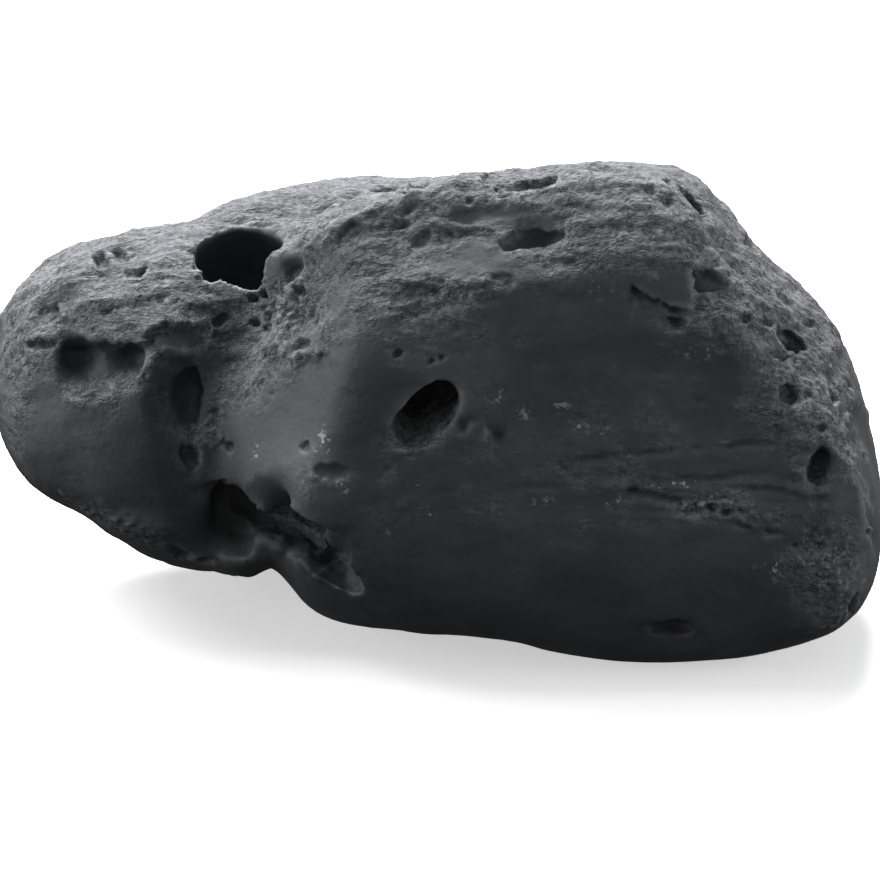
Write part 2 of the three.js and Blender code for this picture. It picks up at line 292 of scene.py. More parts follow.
def within(outline):
    """Points near a closed outline on the picture: ids, how far inside in mm, layer."""
    corners = np.array(outline, float)
    ids = near_ids(corners.min(0), corners.max(0), 4)
    spot = net.seen[ids]
    best = np.full(len(ids), np.inf)
    odd = np.zeros(len(ids), bool)
    for start, end in zip(corners, np.roll(corners, -1, axis=0)):
        best = np.minimum(best, from_segment(spot, start, end)[0])
        if start[1] != end[1]:
            crosses = (start[1] > spot[:, 1]) != (end[1] > spot[:, 1])
            at = start[0] + (spot[:, 1] - start[1]) / (end[1] - start[1]) * (end[0] - start[0])
            odd ^= crosses & (spot[:, 0] < at)
    return ids, best * PIXEL * np.where(odd, 1, -1), in_layer(ids, front_depth(corners.mean(0)))


look()
print("seen from", net.seen.min(0).round(), "to", net.seen.max(0).round(), "pixels")

# %% [markdown]
# ## Sand and bend the rims
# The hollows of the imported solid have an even, crisp rim all round, while on the real stone one side of
# a hollow is often worn down. Places on the list are averaged more, like sanding by hand. A hole that
# lies a little off its place in the photograph is nudged there, with the skin around it. Then noise
# slides the whole skin a little along itself, which leaves flats flat but makes every rim uneven.

# %% Sand the worn rims
SANDED = [
    ("chipped notch", (713, 283), (22, 20), 1.0),
    ("recess cheek", (168, 396), (14, 32), 1.0),
    ("recess foot", (182, 428), (18, 9), 1.0),
    ("lobe hole foot", (84, 389), (22, 7), 0.7),
    ("lobe top pit", (110, 264), (26, 22), 1.0),
    ("lobe side pit", (52, 313), (24, 18), 1.0),
    ("gully", (185, 460), (20, 34), 1.0),
    ("cave pocket foot", (205, 548), (24, 12), 0.9),
    ("cave pocket cheek", (186, 520), (10, 20), 0.7),
    ("lobe hole rib", (103, 362), (9, 16), 1.0),
    ("cave neck top", (274, 493), (19, 12), 1.0),
    ("slope hollow top", (530, 225), (26, 7), 1.0),
    ("foot hollow", (663, 641), (28, 7), 0.8),
    ("shoulder dip", (311, 212), (16, 12), 0.8),
]
SAND_ROUNDS = 240
SAND_SPREAD = 0.8
SAND_CRISP = 0.6
NUDGED = [("front hole", (421, 416), 34.0, (2.6, 1.4))]
HOLE_DEPTH = 45.0
BEND = [(19.0, 2.2), (7.0, 0.9)]
BEND_SHIFTS = (11.3, 47.1, 83.9)

sand = np.zeros(net.count)
for name, place, size, share in SANDED:
    ids, out, layer = oval(place, size)
    sand[ids] = np.maximum(sand[ids], share * bowl(out * SAND_SPREAD, SAND_CRISP) * layer)
net.points = net.averaged(net.points, SAND_ROUNDS, AVERAGE_STEP * sand[:, None])
for name, place, reach, (across, up) in NUDGED:
    gap = np.hypot(*(net.seen - place).T) * PIXEL
    slide = bowl(gap / reach, 0) * (net.depth < front_depth(place) + HOLE_DEPTH)
    net.points = net.points + slide[:, None] * (across * view_right + up * view_up)
net.normals = net.outward()
for size, reach in BEND:
    bend = reach * np.stack([net.lumps(size, 2, shift) for shift in BEND_SHIFTS], axis=1)
    bend -= (bend * net.normals).sum(1)[:, None] * net.normals
    net.points = net.points + bend * net.off_base[:, None]
look()
print("sanded places:", len(SANDED), "bent by up to", round(float(np.abs(bend).max()), 2), "mm")

# %% [markdown]
# ## Flat chips
# At the right the stone was struck and a corner broke away, which left flat faces with sharp edges.
# Inside each outline the points are moved to the flat plane that fits them best.

# %% Flatten the chips
FLATS = [
    ("chip block", [(654, 268), (674, 263), (694, 269), (690, 309), (662, 299), (645, 288)]),
    ("lobe scoop", [(146, 336), (165, 325), (200, 329), (211, 333), (205, 344), (162, 349)]),
]
FLAT_EDGE = 1.6

for name, outline in FLATS:
    ids, far, layer = within(outline)
    inner = ids[(far > 0) & (layer > 0.5)]
    middle = net.points[inner].mean(0)
    across = np.linalg.svd(net.points[inner] - middle, full_matrices=False)[2][2]
    away = (net.points[ids] - middle) @ across
    net.points[ids] -= (away * ramp(far, 0, FLAT_EDGE) * layer)[:, None] * across
net.write()
print("flats:", len(FLATS))

# %% [markdown]
# ## The second net
# Sanding and bending have stretched the net here and there, so the stone is wrapped once more, finer
# than before. Every mark from here on only adds to one list, how far each point is to sink, and the
# points are moved once, at the end.

# %% Wrap the stone again
SECOND_VOXEL = 0.75

net = Net(rock, SECOND_VOXEL)
net.points = net.averaged(net.points, 2)
look()
print("second net:", net.count, "points")

# %% [markdown]
# ## Pockets and scoops
# These hollows have straight or angular sides: a chipped corner, the smooth scoop on the lobe, slits.
# Each is a closed outline on the picture, pressed in to a depth, with a crisp or soft edge. It may lean,
# so that it is deepest towards one side and comes up level at the other.

# %% Press in the pockets
POCKETS = [
    ("slope hollow", [(497, 246), (506, 236), (514, 230), (536, 227), (548, 231), (564, 230), (566, 238),
                      (551, 247), (530, 251), (504, 252)], 2.4, 1.0, -60),
    ("slope dish", [(434, 216), (450, 209), (510, 200), (536, 203), (542, 214), (505, 221), (470, 227),
                    (440, 226)], 1.5, 2.2, -100),
    ("deep hole notch", [(281, 284), (285, 272), (295, 264), (306, 261), (308, 271), (299, 281),
                         (288, 286)], 2.4, 1.8, 180),
    ("chipped notch", [(696, 268), (713, 266), (728, 288), (711, 292), (697, 295)], 4.2, 1.0, 175),
    ("under the chip", [(664, 318), (690, 319), (695, 333), (673, 331)], 2.4, 1.2, 90),
    ("lobe scoop", [(139, 335), (165, 322), (200, 326), (214, 331), (208, 345), (190, 354), (160, 351),
                    (143, 346)], 1.5, 2.6, 90),
    ("lobe slit", [(25, 343), (40, 337), (59, 341), (58, 349), (40, 353), (27, 350)], 4.0, 1.0, 90),
    ("lobe top pit", [(91, 256), (103, 250), (111, 262), (113, 279), (99, 281), (93, 268)], 3.6, 1.4, 150),
    ("lobe top pit", [(111, 248), (125, 248), (131, 262), (118, 267)], 2.6, 1.1, 120),
    ("lobe top pit", [(122, 270), (148, 265), (141, 279), (125, 280)], 3.0, 1.0, 60),
    ("lobe side pit", [(35, 312), (44, 303), (58, 305), (64, 318), (50, 326), (38, 322)], 2.4, 2.0, 60),
    ("recess back", [(172, 376), (185, 366), (201, 364), (203, 392), (200, 424), (180, 424),
                     (170, 404)], 2.6, 3.0, 0),
    ("cave corner", [(303, 529), (322, 535), (345, 551), (351, 564), (334, 572), (308, 556)], 3.0, 1.6, 60),
    ("cave apron", [(312, 564), (350, 560), (368, 580), (378, 594), (348, 602), (316, 590)], 3.4, 6.0, 60),
    ("foot recess", [(644, 634), (654, 625), (672, 622), (692, 626), (698, 634), (672, 638)], 1.6, 1.4, 90),
    ("shoulder hole", [(779, 334), (790, 331), (800, 337), (808, 348), (800, 350), (786, 344)], 3.0,
     0.9, 45),
    ("flank hollow", [(757, 320), (768, 317), (777, 323), (774, 328), (760, 327)], 2.0, 0.9, 60),
    ("flank hollow", [(769, 350), (780, 348), (792, 356), (788, 361), (772, 358)], 1.8, 0.9, 60),
    ("end hollow", [(778, 388), (786, 384), (800, 390), (798, 404), (788, 408), (779, 400)], 2.0, 1.0, 180),
    ("end hollow", [(802, 391), (812, 388), (816, 396), (806, 400)], 1.8, 0.8, 90),
]
LEAN_LOW = 0.25
POCKET_WOBBLE = 0.7

sink = np.zeros(net.count)
for name, outline, deep, edge, lean in POCKETS:
    ids, far, layer = within(outline)
    angle = math.radians(lean)
    across = net.seen[ids] @ np.array([math.cos(angle), -math.sin(angle)])
    inner = across[far > 0]
    share = LEAN_LOW + (1 - LEAN_LOW) * np.clip((across - inner.min()) / np.ptp(inner), 0, 1)
    sink[ids] += deep * share * ramp(far + POCKET_WOBBLE * net.wobble[ids], 0, edge) * layer
print("pockets:", len(POCKETS), "deepest", round(float(sink.max()), 2), "mm")

# %% [markdown]
# ## Ledges and ridges
# Water has worn the softer beds of the stone back and left the harder ones standing as low ledges. A
# ledge is a line with a sudden drop on one side that fades out away from it, and a ridge is a soft
# raised line. Each list gives the line through the picture, and sizes in mm.

# %% Cut the ledges
LEDGES = [
    ("cave roof", [(195, 489), (205, 482), (220, 481), (235, 488), (248, 502), (270, 513), (300, 523),
                   (325, 535), (345, 550), (352, 566)], 3.4, 9),
    ("chip underside", [(630, 284), (655, 300), (692, 314)], 3.6, 5),
    ("chip side", [(692, 316), (693, 296), (696, 266)], 1.6, 6),
    ("scoop edge", [(140, 333), (165, 322), (200, 327), (213, 331)], 0.7, 9),
    ("lobe ledge", [(100, 338), (126, 346), (155, 334)], 1.4, 6),
    ("lobe hole rim", [(58, 353), (72, 345), (95, 344), (108, 352)], 1.6, 6),
    ("recess edge", [(201, 364), (202, 395), (203, 432)], 2.4, 8),
    ("gully step", [(296, 356), (332, 350)], 1.2, 8),
    ("slope step", [(436, 226), (462, 231), (497, 225)], 1.2, 7),
    ("lower seam ledge", [(600, 490), (650, 495), (700, 505), (745, 527), (775, 533)], 0.9, 6),
    ("right seam ledge", [(740, 490), (780, 490), (832, 500)], 0.8, 7),
    ("lobe foot ledge", [(50, 486), (90, 512), (140, 532), (186, 545)], 1.2, 8),
    ("end crease", [(870, 560), (868, 525), (862, 490), (853, 455), (851, 428), (857, 398)], 2.6, 9),
    ("end fold", [(845, 455), (838, 430), (842, 398)], 1.0, 4),
]
RIDGES = [
    ("cave tongue", [(218, 505), (240, 517), (262, 533), (290, 552)], 7.0, 2.4),
    ("crest", [(295, 250), (350, 225), (400, 203), (440, 194), (482, 190), (540, 192)], 11.0, 2.4),
    ("crest line", [(295, 250), (350, 223), (400, 200), (440, 190), (482, 186)], 3.4, 0.9),
    ("face brow", [(352, 294), (415, 287), (500, 275), (575, 275), (612, 286)], 12.0, 1.0),
    ("notch rib", [(715, 268), (734, 289)], 3.4, 1.8),
    ("chip lip", [(640, 301), (664, 312), (690, 319)], 3.0, 1.0),
    ("scoop brow", [(138, 330), (165, 318), (205, 323)], 4.0, 0.9),
    ("end rim", [(846, 400), (847, 430), (848, 456), (856, 490), (862, 525)], 3.0, 0.8),
]
LEDGE_EDGE = 1.1
LINE_WOBBLE = 1.5
END_TAPER = 0.14


def taper(along):
    return ramp(along, 0, END_TAPER) * (1 - ramp(along, 1 - END_TAPER, 1))


for name, path, deep, fade in LEDGES:
    ids, gap, along, layer = follow(path, 3 * fade)
    gap = gap + LINE_WOBBLE * net.wobble[ids]
    drop = ramp(gap, 0, LEDGE_EDGE) * np.exp(-(np.maximum(gap, 0) / fade) ** 2)
    sink[ids] += deep * drop * taper(along) * layer * np.clip(net.patchy[ids], 0.4, 1.3)
for name, path, width, high in RIDGES:
    ids, gap, along, layer = follow(path, 2 * width)
    crest = np.exp(-(2 * (gap + LINE_WOBBLE * net.wobble[ids]) / width) ** 2)
    sink[ids] -= high * crest * taper(along) * layer * np.clip(net.patchy[ids], 0.5, 1.2)
print("ledges", len(LEDGES), "ridges", len(RIDGES), "deepest", round(float(sink.max()), 2), "mm")

# %% [markdown]
# ## Seams
# Fine cracks follow the beds of the stone. A seam is a narrow groove that comes and goes along its
# line. Each has its line through the picture, its width and its depth in mm.

# %% Cut the seams
SEAMS = [
    ("upper seam", [(556, 464), (600, 458), (680, 450), (782, 442)], 1.8, 0.8),
    ("lower seam", [(600, 489), (650, 495), (700, 505), (745, 527), (790, 534)], 2.0, 1.6),
    ("right seam", [(740, 489), (780, 490), (832, 499)], 1.8, 0.9),
    ("middle seam", [(585, 474), (640, 476), (700, 480), (760, 472), (800, 462)], 1.6, 0.5),
    ("left seam", [(470, 496), (515, 487), (565, 488)], 1.6, 0.5),
    ("face seam", [(392, 508), (420, 496), (455, 490)], 1.6, 0.5),
    ("low right seam", [(790, 549), (808, 546), (828, 549)], 2.4, 1.8),
    ("low right seam", [(856, 590), (850, 606), (846, 622)], 2.4, 2.0),
    ("hole furrow", [(452, 422), (480, 434), (508, 437)], 6.0, 1.8),
    ("end fold", [(846, 398), (842, 425), (848, 452)], 1.8, 1.3),
    ("end fold", [(853, 400), (850, 425), (853, 450)], 1.8, 1.3),
    ("lobe fold", [(150, 352), (172, 362), (198, 366)], 5.0, 1.2),
]
SEAM_WOBBLE = 0.8

broken = ramp(net.lumps(9.0, 2, 3.1), -0.25, 0.2)
for name, path, width, deep in SEAMS:
    ids, gap, along, layer = follow(path, 2 * width)
    groove = np.exp(-(2 * (gap + SEAM_WOBBLE * net.wobble[ids]) / width) ** 2)
    sink[ids] += deep * groove * taper(along) * layer * broken[ids]
print("seams:", len(SEAMS))

# %% [markdown]
# ## Pits
# Small pits lie where softer grains fell out. Each is an oval with an uneven edge: a soft one is a bowl,
# and a crisp one has a steep wall and a flat floor. The list gives the place in the picture, length and
# width, turn in degrees, depth, and how crisp it is.

# %% Press in the pits
PITS = [
    ("end waist", (868, 425), (13, 26), 8, 2.2, 0.1),
    ("lobe brow", (46, 260), (26, 12), 30, 1.6, 0.1),
    ("crest hole", (394, 190), (13, 4), 2, 5.0, 0.8),
    ("crest groove", (527, 184), (25, 4.4), 8, 4.0, 0.6),
    ("shoulder slot", (696, 203), (11, 4.4), -48, 3.0, 0.8),
    ("crest dimple", (409, 210), (7, 4), 20, 1.5, 0.5),
    ("slope dimple", (403, 225), (9, 4), 10, 1.5, 0.4),
    ("slope dimple", (423, 240), (8, 5), 35, 1.7, 0.5),
    ("slope pit", (470, 203), (4, 2.4), 10, 1.2, 0.5),
    ("shoulder pit", (651, 190), (5, 3.4), -30, 1.8, 0.6),
    ("shoulder pit", (667, 183), (4.4, 3), -10, 1.6, 0.6),
    ("shoulder pit", (669, 201), (5, 3.4), -40, 1.6, 0.4),
    ("shoulder edge slot", (753, 244), (9, 4.4), -52, 2.8, 0.7),
    ("lobe side pit", (66, 322), (7, 5), 0, 1.6, 0.3),
    ("lobe underside", (182, 556), (10, 3.6), -8, 2.2, 0.4),
    ("lobe underside", (206, 561), (7, 3), 0, 2.0, 0.4),
    ("gully slot", (221, 320), (6.5, 3.4), 35, 2.4, 0.6),
    ("gully pit", (303, 345), (7, 4), 25, 2.0, 0.5),
    ("gully hollow", (192, 457), (8, 10), 0, 3.2, 0.4),
    ("gully pit", (230, 447), (3.6, 4), 0, 1.8, 0.6),
    ("gully pit", (216, 411), (3.2, 3.2), 0, 1.6, 0.6),
    ("crumbled hole", (253, 298), (4, 3.4), 0, 2.4, 0.7),
    ("crumbled hole", (262, 294), (3.4, 3), 0, 2.2, 0.7),
    ("crumbled hole", (281, 293), (3.6, 3), 20, 2.2, 0.7),
    ("crumbled hole", (300, 292), (3.8, 4), 0, 2.4, 0.7),
    ("crumbled hole", (254, 322), (4, 3), 0, 2.2, 0.7),
    ("crumbled hole", (265, 327), (3.6, 3), 0, 2.0, 0.7),
    ("face pit", (398, 353), (4.4, 3.4), 0, 1.6, 0.6),
    ("face pit", (431, 361), (4, 2.6), 10, 1.3, 0.5),
    ("face pit", (441, 358), (3.4, 2.6), 0, 1.2, 0.5),
    ("face pit", (305, 447), (3.6, 4), 0, 1.5, 0.6),
    ("face hollow", (330, 472), (15, 6), -8, 1.8, 0.3),
    ("flank pit", (746, 318), (5, 3.6), -10, 1.8, 0.6),
    ("flank pit", (811, 323), (4.4, 3), -30, 1.8, 0.5),
    ("end pit", (835, 397), (4, 6), 10, 2.2, 0.6),
    ("end pit", (822, 428), (4, 5), 0, 1.6, 0.5),
    ("seam pit", (712, 508), (5, 3), -10, 2.2, 0.6),
    ("seam pit", (726, 513), (4, 3), 0, 2.0, 0.6),
]

for name, place, size, turn, deep, crisp in PITS:
    ids, out, layer = oval(place, size, turn)
    sink[ids] += deep * bowl(out, crisp) * layer
print("pits:", len(PITS), "deepest mark", round(float(sink.max()), 2), "mm")

# %% [markdown]
# ## Rough and smooth skin
# The top, the right flank and the gully are weathered and gritty, while the front and the lobe's cheek
# are worn smooth and matt. One value from 0 to 1 at every point says how rough it is. It comes from how
# far the skin faces up, broken up by noise, because the smooth skin flakes off in uneven patches. Both
# the carving and the material use it.

# %% Say where the skin is rough
ROUGH_PATCHES = [
    ((258, 312), (64, 38), 0.9),
    ((288, 430), (72, 42), -1.2),
    ((100, 320), (80, 44), 0.5),
    ((800, 380), (60, 100), 0.7),
    ((820, 570), (50, 60), 0.9),
    ((715, 508), (64, 18), 0.6),
    ((600, 478), (70, 14), 0.3),
    ((240, 525), (44, 44), -2.0),
    ((312, 555), (56, 40), -2.0),
    ((85, 366), (24, 18), -2.0),
    ((125, 362), (20, 13), -1.6),
    ((186, 396), (18, 26), -1.6),
    ((240, 258), (34, 26), -2.0),
    ((710, 326), (66, 24), 0.9),
    ((18, 400), (22, 90), 0.8),
    ((316, 298), (20, 46), 0.8),
    ((120, 530), (90, 22), 0.4),
    ((200, 440), (20, 40), 0.5),
    ((180, 338), (26, 11), -0.9),
    ((100, 440), (70, 50), -0.5),
    ((490, 214), (38, 10), -1.6),
    ((440, 193), (36, 10), -0.7),
    ((355, 222), (36, 14), -0.7),
    ((478, 262), (60, 20), -1.1),
    ((672, 288), (18, 17), -1.2),
    ((711, 282), (13, 11), -1.6),
]
BROAD_ROUNDS = 40
PATCH_SHARE = 0.5
ROUGH_FROM = 0.08
ROUGH_FULL = 0.54

broad = net.averaged(net.normals, BROAD_ROUNDS)
ragged = 0.26 * net.lumps(36.0, 3, 71.3) + 0.22 * net.lumps(8.0, 3, 19.9)
rough = broad[:, 2] + ragged
far_side = ramp(broad[:, 1] + 0.3 * net.lumps(60.0, 2, 17.7), 0.1, 0.6)
rough = np.maximum(rough, far_side * (0.3 + ragged + 0.5 * net.lumps(38.0, 2, 23.1)))
for place, size, amount in ROUGH_PATCHES:
    ids, out, layer = oval(place, size)
    rough[ids] += PATCH_SHARE * amount * bowl(out, 0) * layer
rough = ramp(rough, ROUGH_FROM, ROUGH_FULL)
print("rough share", round(float(rough.mean()), 3))

# %% [markdown]
# ## Weathered grain and scattered pits
# Rough skin is drawn out along the beds of the stone: it flakes off in low steps, and between the steps
# it is finely lumpy. Small pits are scattered over it by a seeded random draw, so that every run gives
# the same stone. On the far side, which no picture shows, a number of larger ones are drawn too.

# %% Scatter the pits
SEED = 20617
SCATTERED = 240
SCATTERED_SIZE = (0.9, 2.6)
FAR_HOLLOWS = 30
FAR_HOLLOW_SIZE = (3.0, 10.0)
GRAIN_WAY = np.array([0.94, 0.25, 0.22])
PIT_SEARCH = 1.4
SAME_SIDE = 0.2

rng = np.random.default_rng(SEED)
nearest = kdtree.KDTree(net.count)
for index, place in enumerate(net.points.tolist()):
    nearest.insert(place, index)
nearest.balance()
outline_noise = net.lumps(2.6, 2, 51.3)


def press_pit(index, radius, deep, crisp, drawn_out):
    """An uneven pit round one point, drawn out along the grain of the stone."""
    reach = PIT_SEARCH * radius * drawn_out
    found = np.array([i for _, i, _ in nearest.find_range(net.points[index], reach)])
    gap = net.points[found] - net.points[index]
    along = gap @ GRAIN_WAY
    across = np.sqrt(np.maximum((gap * gap).sum(1) - along ** 2, 0))
    out = np.hypot(along / drawn_out, across) / radius
    out = out * (1 + UNEVEN * (net.wobble[found] + outline_noise[found]))
    same_side = net.normals[found] @ net.normals[index] > SAME_SIDE
    sink[found] = np.maximum(sink[found], deep * bowl(out, crisp) * same_side)


clear_of_base = ramp(net.points[:, 2], 4, 14)
chance = (0.04 + rough) * clear_of_base * ramp(net.lumps(24.0, 2, 3.3), -0.4, 0.5)
for index in rng.choice(net.count, SCATTERED, replace=False, p=chance / chance.sum()):
    radius = rng.uniform(*SCATTERED_SIZE) * rng.uniform(0.5, 1)
    press_pit(index, radius, radius * rng.uniform(0.2, 0.6), rng.uniform(0.2, 0.9), rng.uniform(1.2, 3))
chance = ramp(broad[:, 1], -0.1, 0.5) * clear_of_base
for index in rng.choice(net.count, FAR_HOLLOWS, replace=False, p=chance / chance.sum()):
    radius = rng.uniform(*FAR_HOLLOW_SIZE) * rng.uniform(0.3, 1)
    press_pit(index, radius, 0.4 * radius, rng.uniform(0.2, 0.8), rng.uniform(1, 2))
print("scattered pits:", SCATTERED + FAR_HOLLOWS, "deepest", round(float(sink.max()), 2), "mm")

# %% Raise the grain
SWELL = (28.0, 0.8)
FLAKES = [(14.0, 0.45), (5.5, 0.24)]
FLAKE_STEPS = 3.0
GRAIN = [(7.0, 0.3), (3.0, 0.22)]
DRAWN_OUT = (2.2, 1, 1)
SMOOTH_SHARE = 0.2


def stepped(values):
    """Noise turned into low flat steps with short slopes between them."""
    whole = np.floor(values * FLAKE_STEPS)
    return whole + ramp(values * FLAKE_STEPS - whole, 0.35, 0.65)


lift = SWELL[1] * net.lumps(SWELL[0], 2, 61.7)
share = SMOOTH_SHARE + (1 - SMOOTH_SHARE) * rough
for size, high in FLAKES:
    lift += high * stepped(net.lumps(size, 3, 41.7, DRAWN_OUT)) * share
for size, high in GRAIN:
    lift += high * (2.0 * np.abs(net.lumps(size, 2, 9.1 * size, DRAWN_OUT)) - 0.5) * share
print("grain from", round(float(lift.min()), 2), "to", round(float(lift.max()), 2), "mm")

# %% [markdown]
# ## Soft beds
# A few softer beds have crumbled into coarse, rounded crumbs, and fine bed lines run across the right
# of the front. The far side gets shallow grooves along the beds. This is the last mark, so here the
# points are moved, once, by all that was raised and sunk.

# %% Crumble the soft beds
CRUMBLED = [
    ("gully patch", (281, 308), (27, 18), -15, 1.5),
    ("low right end", (828, 585), (28, 46), 12, 0.6),
    ("seam band", (722, 507), (36, 9), -10, 0.9),
    ("lobe foot", (115, 522), (56, 12), -24, 0.6),
    ("right flank", (802, 400), (28, 54), 8, 0.5),
    ("gully floor", (215, 425), (10, 34), -8, 0.7),
]
BED_LINES = ("bed lines", (700, 490), (105, 36), -4, 0.22)
BED_DRAW = (10, 10, 1)
FAR_BEDS = [46.0, 83.0, 118.0]
BED_TILT = np.array([0.10, -0.05, 1.0])
FAR_BED_WIDTH = 2.2
FAR_BED_DEPTH = 1.5

crumbs = 2.4 * np.abs(net.lumps(3.8, 3, 91.3)) - 0.8
for name, place, size, turn, high in CRUMBLED:
    ids, out, layer = oval(place, size, turn)
    lift[ids] += high * crumbs[ids] * bowl(out, 0.5) * layer
name, place, size, turn, high = BED_LINES
ids, out, layer = oval(place, size, turn)
lift[ids] += high * stepped(net.lumps(2.6, 2, 29.3, BED_DRAW))[ids] * bowl(out, 0.2) * layer
bed_height = net.points @ BED_TILT + 6.0 * net.lumps(55.0, 2, 13.9)
grooves = sum(np.exp(-((bed_height - level) / FAR_BED_WIDTH) ** 2) for level in FAR_BEDS)
lift -= FAR_BED_DEPTH * grooves * ramp(broad[:, 1], 0.0, 0.4) * np.clip(2 * net.patchy - 1, 0, 1)
net.points = net.points + net.normals * ((lift - sink) * net.off_base)[:, None]
net.points = net.averaged(net.points, 1, 0.15)
net.points[:, 2] = np.maximum(net.points[:, 2], 0)
print("crumbled places:", len(CRUMBLED))

# %% [markdown]
# ## Masks for the material
# The finish changes over the stone: rough skin is paler, partly dust and partly painted top light,
# hollows get painted shade, edges are lighter, partly worn and partly painted highlight, and pale
# mineral specks sit in clusters on the front. Hollows and edges are found by how far averaging would
# move each point, and the lists add painted shade in the deep holes and patches that are partly rubbed
# and partly painted highlight. Each mask is a value at every point of the mesh, which the material reads
# by name and which stays in place from any side.

# %% Measure painted shade in hollows, worn and highlit edges, and specks
HOLLOW_ROUNDS = [(14, 0.5), (70, 1.6)]
PAINTED_SHADE_SHARE = 0.55
SPECK_CLUSTERS = [
    ((322, 442), (8, 13), 1.0),
    ((343, 486), (7, 6), 1.0),
    ((413, 478), (6, 9), 0.7),
    ((428, 514), (6, 5), 0.9),
    ((393, 528), (5, 4), 0.8),
    ((470, 517), (6, 5), 0.7),
    ((495, 392), (6, 12), 0.8),
    ((526, 411), (4, 9), 0.9),
    ((560, 408), (8, 5), 1.0),
    ((581, 428), (5, 9), 1.0),
    ((604, 432), (4, 4), 0.9),
    ((535, 500), (14, 5), 0.8),
    ((612, 502), (7, 5), 1.0),
    ((676, 484), (18, 6), 1.0),
    ((712, 502), (24, 8), 0.9),
    ((774, 567), (9, 9), 1.0),
    ((257, 452), (5, 7), 0.9),
    ((600, 290), (14, 8), 0.4),
    ((455, 298), (16, 5), 0.5),
    ((700, 352), (14, 8), 0.6),
    ((830, 560), (24, 26), 0.5),
]
# Painted highlight, partly on rubbed rims: on the crest and the top right, at the right end and under the
# lobe's foot.
RUBBED_AND_HIGHLIT = [
    ((420, 203), (44, 11), 1.0),
    ((378, 246), (44, 26), 0.7),
    ((620, 202), (64, 18), 0.7),
    ((842, 480), (13, 44), 0.7),
    ((125, 520), (60, 14), 0.9),
    ((840, 560), (24, 34), 0.6),
]

# Painted shade where overhangs keep the light out: the cave under the lobe, the notch by the deep hole, the
# foot hollow, the lobe hole and the recess. Painted highlight is taken off there as well.
DEEP_PAINTED_SHADE = [
    ((222, 522), (38, 32), 0.9),
    ((272, 540), (44, 30), 0.6),
    ((326, 548), (30, 18), 0.9),
    ((336, 580), (48, 26), 0.8),
    ((288, 256), (20, 20), 0.3),
    ((668, 630), (30, 14), 0.5),
    ((85, 366), (24, 16), 0.9),
    ((108, 362), (24, 13), 0.8),
    ((186, 400), (16, 26), 0.6),
]

facing = net.outward(2)
hollow = np.zeros(net.count)
wear_and_highlight = np.zeros(net.count)
# Points sunk below their neighbours get painted shade; points standing above them are lighter, partly as
# wear and partly as painted highlight.
for rounds, reach in HOLLOW_ROUNDS:
    below = ((net.averaged(net.points, rounds) - net.points) * facing).sum(1)
    hollow = np.maximum(hollow, PAINTED_SHADE_SHARE * ramp(below, 0.1 * reach, reach))
    wear_and_highlight = np.maximum(wear_and_highlight, ramp(-below, 0.1 * reach, reach))
for place, size, amount in RUBBED_AND_HIGHLIT:
    ids, out, layer = oval(place, size)
    wear_and_highlight[ids] = np.maximum(wear_and_highlight[ids], amount * bowl(out, 0) * layer)
for place, size, amount in DEEP_PAINTED_SHADE:
    ids, out, layer = oval(place, size)
    near = net.depth[ids] < front_depth(place) + HOLE_DEPTH
    hollow[ids] = np.maximum(hollow[ids], amount * bowl(out, 0.5) * near)
    wear_and_highlight[ids] *= 1 - bowl(0.7 * out, 0) * near
specks = np.zeros(net.count)
for place, size, amount in SPECK_CLUSTERS:
    ids, out, layer = oval(place, size)
    specks[ids] = np.maximum(specks[ids], amount * bowl(out, 0.2) * layer)
# The hollow mask carries painted shade, and the mask of lighter edges is partly painted highlight.
masks = {"rough": rough, "hollow": hollow, "wear_and_highlight": wear_and_highlight, "specks": specks}
for name, values in masks.items():
    values = values.astype(np.float32)
    net.mesh.attributes.new(name, "FLOAT", "POINT").data.foreach_set("value", values)
    print("mask", name, "mean", round(float(values.mean()), 3))

# %% [markdown]
# ## A lighter mesh
# The net is far finer than flat places need. The Decimate modifier folds up the edges that matter
# least, so that rims and pits keep their small triangles while smooth skin gets larger ones. The far
# side goes first, with a vertex group that holds the near side as it is, and then the whole stone.

# %% Thin the net
TRIANGLES = 194000
FAR_TRIANGLES = 52000
FAR_FACING = 0.25


def thin_to(piece, count, group=""):
    """Folds up the edges that matter least until that many triangles are left."""
    thin = piece.modifiers.new("thin", "DECIMATE")
    thin.ratio = count / sum(len(face.vertices) - 2 for face in piece.data.polygons)
    thin.use_collapse_triangulate = True
    thin.vertex_group = group
    bake_modifiers(piece)
    print("thinned to", len(piece.data.polygons), "triangles")


net.write()
far_ids = np.flatnonzero(broad @ view_in > FAR_FACING)
rock.vertex_groups.new(name="far side").add(far_ids.tolist(), 1.0, "REPLACE")
far_share = len(far_ids) / net.count
all_triangles = sum(len(face.vertices) - 2 for face in net.mesh.polygons)
thin_to(rock, all_triangles * (1 - far_share) + FAR_TRIANGLES, "far side")
thin_to(rock, TRIANGLES)
rock.vertex_groups.clear()
rock.data.shade_smooth()
print("river_rock:", list(rock.data.attributes.keys()))

# %% [markdown]
# ## The piece and the frame
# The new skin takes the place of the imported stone. It moves with the same body, and it has the same
# material slot.

# %% Put the piece in the frame
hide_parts("rock")
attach(rock, "root")
print("river_rock stands for the packed rock")

# %% [markdown]
# ## Shared shader effects
# Two effects are used by the stone and by the floor under it: a cloudy unevenness of tone, and a fine
# grit. Each is a node group, built once, with its size in mm as an input. The groups give only values,
# and the shaders stay in the materials.

